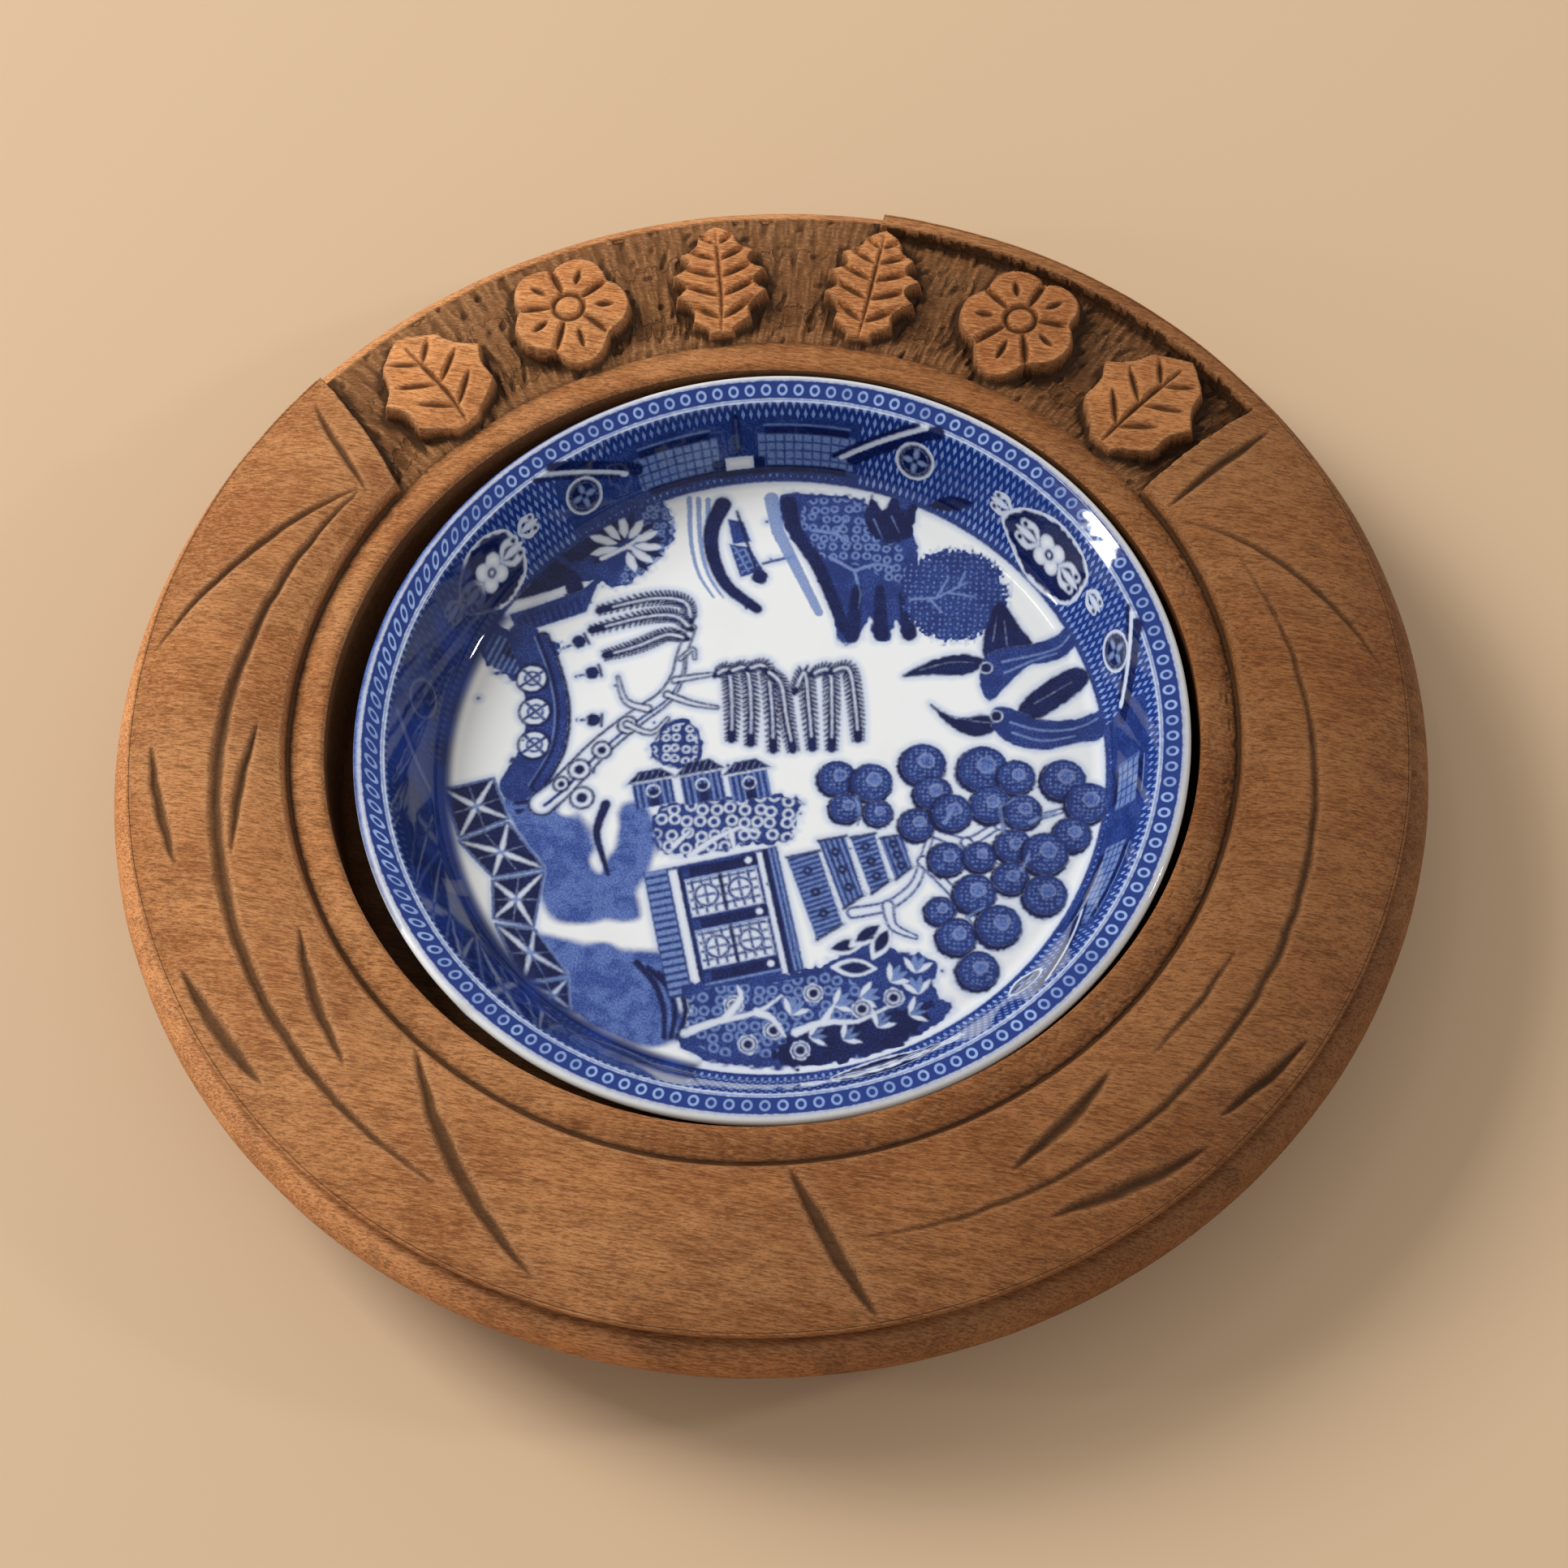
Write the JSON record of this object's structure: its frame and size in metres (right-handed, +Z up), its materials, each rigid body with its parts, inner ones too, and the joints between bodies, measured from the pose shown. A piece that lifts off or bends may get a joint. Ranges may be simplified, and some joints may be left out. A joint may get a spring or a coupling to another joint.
{
  "type": "butter dish",
  "caption": "Round turned wooden butter dish with a carved brim and a loose blue-and-white glazed china liner that lifts out of its recess.",
  "frame": {"origin": "centre of the dish in the plane that it stands on", "axes": "+Z up along the turning axis, +Y towards the carved frieze, +X along the grain of the wood"},
  "size_m": [0.2002, 0.1966, 0.028],
  "materials": {
    "carved_wood": "satin, hand-carved, worn",
    "printed_china": "glossy glaze over a blue print"
  },
  "bodies": {
    "dish": {"wooden_dish": "carved_wood"},
    "liner": {"china_liner": "printed_china"}
  },
  "joints": [
    {"name": "liner_lift", "type": "slide", "parent": "dish", "child": "liner", "axis": [0, 0, 1], "range_m": [0, 0.08]}
  ]
}
